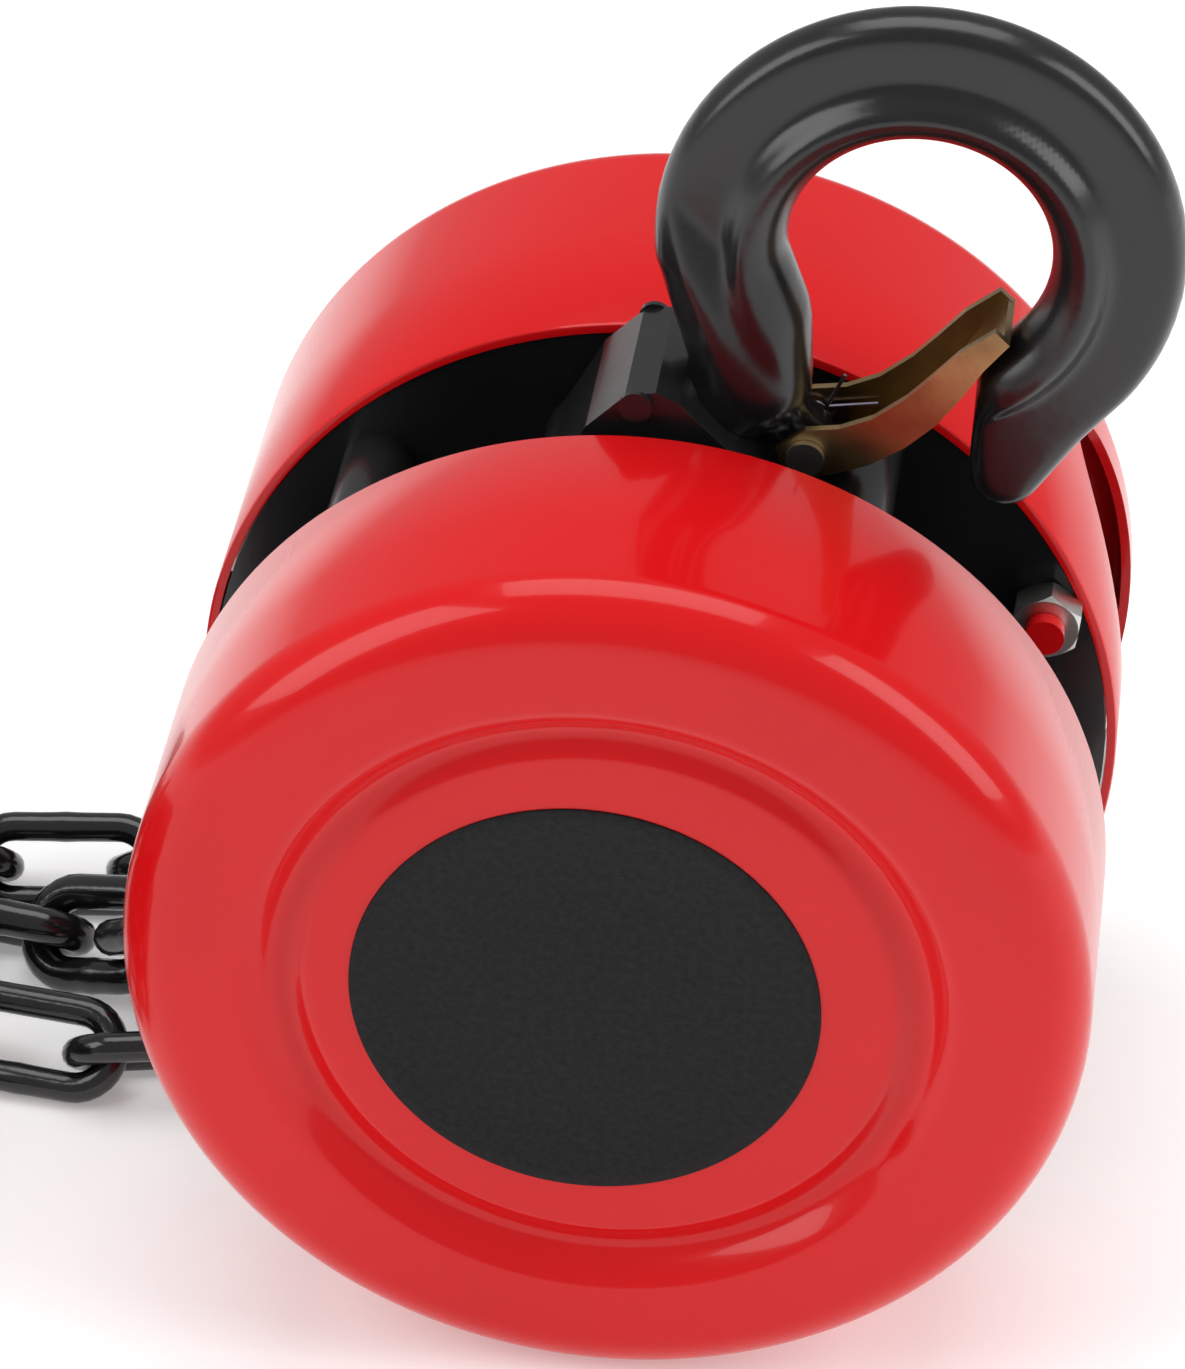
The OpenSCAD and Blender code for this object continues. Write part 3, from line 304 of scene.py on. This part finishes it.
piece("wheel_cover_skin", drum_mesh, "red_paint", "hoist_frame", "wheel_cover")

# The label sits on the face: a thin disc with a rolled edge and a faint raised ring
lo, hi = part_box("label_disc")
lc = Vector(((lo.x + hi.x) / 2, lo.y, (lo.z + hi.z) / 2))
lr = (hi.x - lo.x) / 2
t = hi.y - lo.y
rim = [(0.0, lo.y + 0.06 * MM), (lr * 0.5, lo.y + 0.06 * MM), (lr - 2.6 * MM, lo.y + 0.06 * MM),
       (lr - 2.3 * MM, lo.y), (lr - 0.4 * MM, lo.y), (lr - 0.1 * MM, lo.y + 0.1 * MM),
       (lr, lo.y + 0.25 * MM), (lr, lo.y + t), (0.0, lo.y + t)]
piece("label_film", lathe("label_film", rim, lc, 0), "label", "hoist_frame", "label_disc")


# ---- Hooks --------------------------------------------------------------------------------

BOWL_R = 18.9
BEAD_HALF = 8.75
HOOK_REACH = 63.6


def remeshed(node, name, voxel, rounds, keep_out=0.0):
    """A forged skin: the node's own solid, remeshed finely and relaxed, so that its parts
    flow into each other as forged steel does."""
    mesh = nodes[node].data.copy()
    mesh.name = name
    o = bpy.data.objects.new(name, mesh)
    scene.collection.objects.link(o)
    bm = bmesh.new()
    bm.from_mesh(mesh)
    bmesh.ops.remove_doubles(bm, verts=bm.verts, dist=1e-6)
    bm.to_mesh(mesh)
    bm.free()
    m = o.modifiers.new("voxels", "REMESH")
    m.mode = "VOXEL"
    m.voxel_size = voxel
    s = o.modifiers.new("relax", "SMOOTH")
    s.factor = 0.5
    s.iterations = rounds
    dg = bpy.context.evaluated_depsgraph_get()
    made = bpy.data.meshes.new_from_object(o.evaluated_get(dg))
    bpy.data.objects.remove(o)
    made.name = name
    smooth(made, 60)
    return made


def press_web(mesh, centre, across, shank, pin):
    """Presses the bowl's outer web flat and thin, and leaves the bead round its seat."""
    for v in mesh.vertices:
        away = v.co - centre
        y = away.dot(across)
        r = (away - y * across).length / MM
        up = (v.co - pin).dot(shank) / MM
        out = min(1.0, max(0.0, (r - BEAD_OUT) / WEB_EASE))
        out = out * out * (3 - 2 * out)
        grown = min(1.0, max(0.0, (up - 34) / 10))
        thin = BEAD_HALF + (WEB_HALF - BEAD_HALF) * out * grown
        over = abs(y) / MM / thin
        if over > 0.75:
            flat = thin * (0.75 + 0.25 * math.tanh((over - 0.75) / 0.25))
            v.co += (math.copysign(flat * MM, y) - y) * across


BEAD_OUT = BOWL_R + 5.6
WEB_EASE = 4.0
WEB_HALF = 4.4
for end in ("top", "bottom"):
    skin = remeshed(f"{end}_hook", f"{end}_hook_forging", 0.0008, 14)
    swing, swivel = joints[f"{end}_yoke_swing"], joints[f"{end}_hook_swivel"]
    pin, shank = Vector(swivel["pos_m"]), Vector(swivel["axis"]).normalized()
    press_web(skin, pin + HOOK_REACH * MM * shank, Vector(swing["axis"]).normalized(),
              shank, pin)
    soft = piece(f"{end}_hook_forging", skin, "hook_black", f"{end}_hook", f"{end}_hook")
    relax = soft.modifiers.new("relax", "SMOOTH")
    relax.factor = 0.5
    relax.iterations = 6


# ---- Chains -------------------------------------------------------------------------------
# Lengths here are millimetres from the shaft's axis, level with the gear cover's corner centre

CHAIN_ORIGIN = Vector((shaft.x, y0 + corner, shaft.z))
COVER_R = R / MM
MID = 50.55
PILE = (-215.0, 8.0)


def smooth_route(q, n=6):
    return [p for p in spline(q, n)[:-1]]


def coil(r_out, r_in, turns, first, turn, z, lift, out):
    slope = (r_out - r_in) / (360 * turns)

    def at(r, a, h):
        t = math.radians(first + turn * a)
        return Vector((PILE[0] + r * math.cos(t), PILE[1] + r * math.sin(t), h))
    inward = [at(r_out - slope * a, a, z) for a in range(0, int(360 * turns) + 1, 12)]
    up = [at(r_in, 360 * turns + a, z + lift * a / 180) for a in range(12, 181, 12)]
    outward = [at(r_in + slope * a, 360 * turns + 180 + a, z + lift)
               for a in range(12, out + 1, 12)]
    return inward + up + outward


def over_wheel(r, y):
    return [Vector((r * math.sin(math.radians(a)), y, r * math.cos(math.radians(a))))
            for a in range(90, -85, -6)]


def joints_along(path, step, n):
    out, i, gone = [], 0, 0.0
    for k in range(n + 1):
        want = k * step
        while i < len(path) - 2 and gone + (path[i + 1] - path[i]).length < want:
            gone += (path[i + 1] - path[i]).length
            i += 1
        span = (path[i + 1] - path[i]).length
        out.append(path[i].lerp(path[i + 1], min(1.0, (want - gone) / span)))
    return out


def link_points(wire, pitch, width, around=14, bend=14, run=8):
    """One link in X and Z: a round wire along a stadium, with its weld on one side."""
    mean = (width - wire) / 2
    half = (pitch + wire) / 2 - mean
    line = [(half + mean * math.cos(t), mean * math.sin(t), 0.0) for t in
            [math.radians(-90 + 180 * k / bend) for k in range(bend + 1)]]
    line += [(half - 2 * half * k / run, mean, math.exp(-((k - run / 2) / 0.8) ** 2))
             for k in range(1, run)]
    line += [(-half + mean * math.cos(t), mean * math.sin(t), 0.0) for t in
             [math.radians(90 + 180 * k / bend) for k in range(bend + 1)]]
    line += [(-half + 2 * half * k / run, -mean, 0.0) for k in range(1, run)]
    rings = []
    n = len(line)
    for i, (x, z, weld) in enumerate(line):
        ax, az, _ = line[i - 1]
        bx, bz, _ = line[(i + 1) % n]
        d = Vector((bx - ax, 0, bz - az)).normalized()
        side = Vector((d.z, 0, -d.x))
        r = wire / 2 * (1 + 0.05 * weld)
        rings.append([Vector((x, 0, z)) + r * (math.cos(t) * side + math.sin(t) * Vector((0, 1, 0)))
                      for t in [2 * math.pi * k / around for k in range(around)]])
    return rings


def chain_piece(name, which, chain, *replaced):
    """The links numbered in which, as one mesh that stands for its CAD nodes."""
    verts, faces = [], []
    rings = chain["link"]
    n, m = len(rings), len(rings[0])
    for i in which:
        a = math.radians(chain["twist"][i] + 90 * (i % 2))
        h, v = chain["heads"][i], chain["sides"][i]
        normal = math.cos(a) * v + math.sin(a) * h.cross(v)
        up = h.cross(normal)
        c = (chain["joints"][i] + chain["joints"][i + 1]) / 2
        base = len(verts)
        for ring in rings:
            for p in ring:
                verts.append(CHAIN_ORIGIN + MM * (c + p.x * h + p.y * normal + p.z * up))
        for j in range(n):
            for k in range(m):
                q, w = (j + 1) % n, (k + 1) % m
                faces.append((base + j * m + k, base + q * m + k, base + q * m + w,
                              base + j * m + w))
    mesh = bpy.data.meshes.new(name)
    mesh.from_pydata(verts, [], faces)
    mesh.polygons.foreach_set("use_smooth", [True] * len(mesh.polygons))
    piece(name, mesh, "chain_black", "hoist_frame", *replaced)


def chain_of(path, step, n, level_from, level_to, twist, link):
    pts = joints_along(path, step, n)
    heads = [(pts[i + 1] - pts[i]).normalized() for i in range(n)]
    sides = []
    for i, h in enumerate(heads):
        flat = h.cross(Vector((0, 0, 1)))
        along = Vector((0, 1, 0)) - h.y * h
        sides.append((flat if level_from <= i <= level_to else along).normalized())
    return {"joints": pts, "heads": heads, "sides": sides, "twist": twist, "link": link}


def ramp(x):
    return 45 * min(1.0, max(0.0, x))


LOAD_W, LOAD_WIRE, HAND_W, HAND_WIRE = 20.0, 6.0, 17.5, 5.0
LIE = math.sin(math.radians(45))
load_floor = -COVER_R + (LOAD_W - LOAD_WIRE) / 2 * LIE + LOAD_WIRE / 2
fl = -COVER_R + (HAND_W - HAND_WIRE) / 2 * LIE + HAND_WIRE / 2
HAND_LIFT, LOAD_LIFT = 14.6, 16.6
seat = fl + HAND_LIFT + (fl + COVER_R) + (load_floor + COVER_R) + 0.4
LINKS = 120
SHEAVE_R, WHEEL_R, WHEEL_MID = 27.0, 54.4, 96.4
anchor_a = math.radians(150.5 - 7)
anchor = (57.2 * math.sin(anchor_a), 57.2 * math.cos(anchor_a))

load_path = (
    smooth_route([(anchor[0], MID, anchor[1] - 3.1), (32, MID, -30), (28.4, MID, -14),
                  (SHEAVE_R, MID, 0)])
    + over_wheel(SHEAVE_R, MID)
    + smooth_route([(-SHEAVE_R, MID, 0), (-27.4, MID, -14), (-31, MID, -30), (-42, 52.5, -44),
                    (-57, 56.5, -45), (-70, 65, -47.5), (-82, 74.5, -57),
                    (-94, 80.5, load_floor), (-112, 82.3, load_floor), (-128, 83, -58),
                    (-148, 83.6, -45), (-168, 84, -35.5), (-190, 84, seat), (-215, 84, seat)])
    + coil(76, 28, 2.6, 90, 1, seat, LOAD_LIFT, 699)
    + smooth_route([(-250, 76, seat + LOAD_LIFT), (-264, 85, -20), (-279, 97, -29),
                    (-291, 112, -40), (-292, 130, -50), (-281, 143, -56.5), (-265, 147, -58),
                    (-225, 148, -59.4)]))
last = LINKS - 1
load_chain = chain_of(load_path, 2 * math.pi * SHEAVE_R / 10, LINKS, 14, last,
                      [min(ramp((i - 9) / 3), ramp((last - i) / 4)) for i in range(LINKS)],
                      link_points(LOAD_WIRE, 18, LOAD_W))

hand_path = (
    over_wheel(WHEEL_R, WHEEL_MID)
    + smooth_route([(-WHEEL_R, WHEEL_MID, 0), (-54.4, WHEEL_MID, -20), (-54.5, 96.2, -42),
                    (-54.6, 94, -53), (-55.2, 87, -60.2), (-56, 76, -63.6),
                    (-58.5, 66, fl), (-64, 57, fl), (-75, 51.5, fl), (-88, 51.5, fl),
                    (-106, 55.5, fl), (-120, 52.5, fl),
                    (-129, 40, fl), (-131, 22, fl), (-131, 8, fl)])
    + coil(84, 28, 3.5, 0, -1, fl, HAND_LIFT, 980)
    + smooth_route([(-205, 84, fl + HAND_LIFT), (-185, 91, fl + HAND_LIFT), (-167, 96, fl + 11.6),
                    (-148, 99, fl + 5), (-130, 99.5, fl + 0.5), (-112, 99.5, fl), (-96, 101, fl),
                    (-82, 106, fl), (-66, 120, -63.2), (-40, 139, -61.8), (-8, 148, -61.8),
                    (22, 144, -61.6), (42, 132, -61.6), (52, 116, -61.4),
                    (54, 105, -59.5), (54.6, 98.5, -52.5), (54.5, 96.6, -42),
                    (54.4, WHEEL_MID, -20),
                    (54.4, WHEEL_MID, 0)])
    + [Vector((WHEEL_R, WHEEL_MID, 0))])
hand_len = sum((hand_path[i + 1] - hand_path[i]).length for i in range(len(hand_path) - 1))
rise = last - 3
hand_chain = chain_of(hand_path, hand_len / LINKS, LINKS, 12, rise - 1,
                      [ramp((i - 8) / 2) + ramp((i - rise + 7) / 6) if i < rise else 0
                       for i in range(LINKS)],
                      link_points(HAND_WIRE, 25, HAND_W))

for name, which, chain in (
        ("load_chain_on_sheave", range(0, 11), load_chain),
        ("load_chain_run", range(11, 22), load_chain),
        ("load_chain_coil", range(22, 111), load_chain),
        ("load_chain_end", range(111, LINKS), load_chain),
        ("hand_chain_on_wheel", [*range(0, 9), last - 1, last], hand_chain),
        ("hand_chain_run", range(9, 15), hand_chain),
        ("hand_chain_coil", range(15, 105), hand_chain),
        ("hand_chain_back", range(105, last - 1), hand_chain)):
    chain_piece(name + "_links", which, chain, name)


# ---- Edges on the carried-over nodes --------------------------------------------------------

def soften(node, width, segments=2, angle=40):
    o = nodes[node]
    weld = o.modifiers.new("weld", "WELD")
    weld.merge_threshold = 1e-6
    bev = o.modifiers.new("edges", "BEVEL")
    bev.width = width
    bev.segments = segments
    bev.limit_method = "ANGLE"
    bev.angle_limit = math.radians(angle)
    bev.harden_normals = True


for n in ("top_yoke_front", "top_yoke_rear", "bottom_yoke_front", "bottom_yoke_rear"):
    soften(n, 0.0008, 3)
for n in ("top_latch", "bottom_latch"):
    soften(n, 0.00025, 2)


# ---- Floor and light ------------------------------------------------------------------------

floor_mesh = bpy.data.meshes.new("floor")
bm = bmesh.new()
bmesh.ops.create_grid(bm, x_segments=1, y_segments=1, size=6)
bm.to_mesh(floor_mesh)
bm.free()
floor = bpy.data.objects.new("floor", floor_mesh)
floor.location = (0, 0, -0.0002)
scene.collection.objects.link(floor)
floor_mat = material("floor", (0.9, 0.9, 0.9), 0.6, vary=0.01, grain=3, bump=0.0,
                     spread=0.05, specular=0.2)
glow = floor_mat.node_tree.nodes["Principled BSDF"]
glow.inputs["Emission Color"].default_value = (1, 1, 1, 1)
glow.inputs["Emission Strength"].default_value = 0.25
floor_mesh.materials.append(floor_mat)

world = bpy.data.worlds.new("studio")
scene.world = world
world.use_nodes = True
world.node_tree.nodes["Background"].inputs[0].default_value = (1, 1, 1, 1)
world.node_tree.nodes["Background"].inputs[1].default_value = 0.42


def area(name, place, target, size, power, shape="RECTANGLE", size_y=None):
    d = bpy.data.lights.new(name, "AREA")
    d.shape = shape
    d.size = size
    d.size_y = size_y or size
    d.energy = power
    o = bpy.data.objects.new(name, d)
    scene.collection.objects.link(o)
    o.location = place
    aim = Vector(target) - Vector(place)
    o.rotation_euler = aim.to_track_quat("-Z", "Y").to_euler()


area("left_box", (-1.1, -0.5, 0.9), (0, 0, 0.1), 0.8, 9, size_y=1.2)
area("right_box", (1.2, -0.2, 0.8), (0, 0, 0.1), 0.7, 8, size_y=1.1)
area("top_box", (0.0, 0.3, 1.5), (0, 0, 0), 1.3, 10, size_y=0.9)
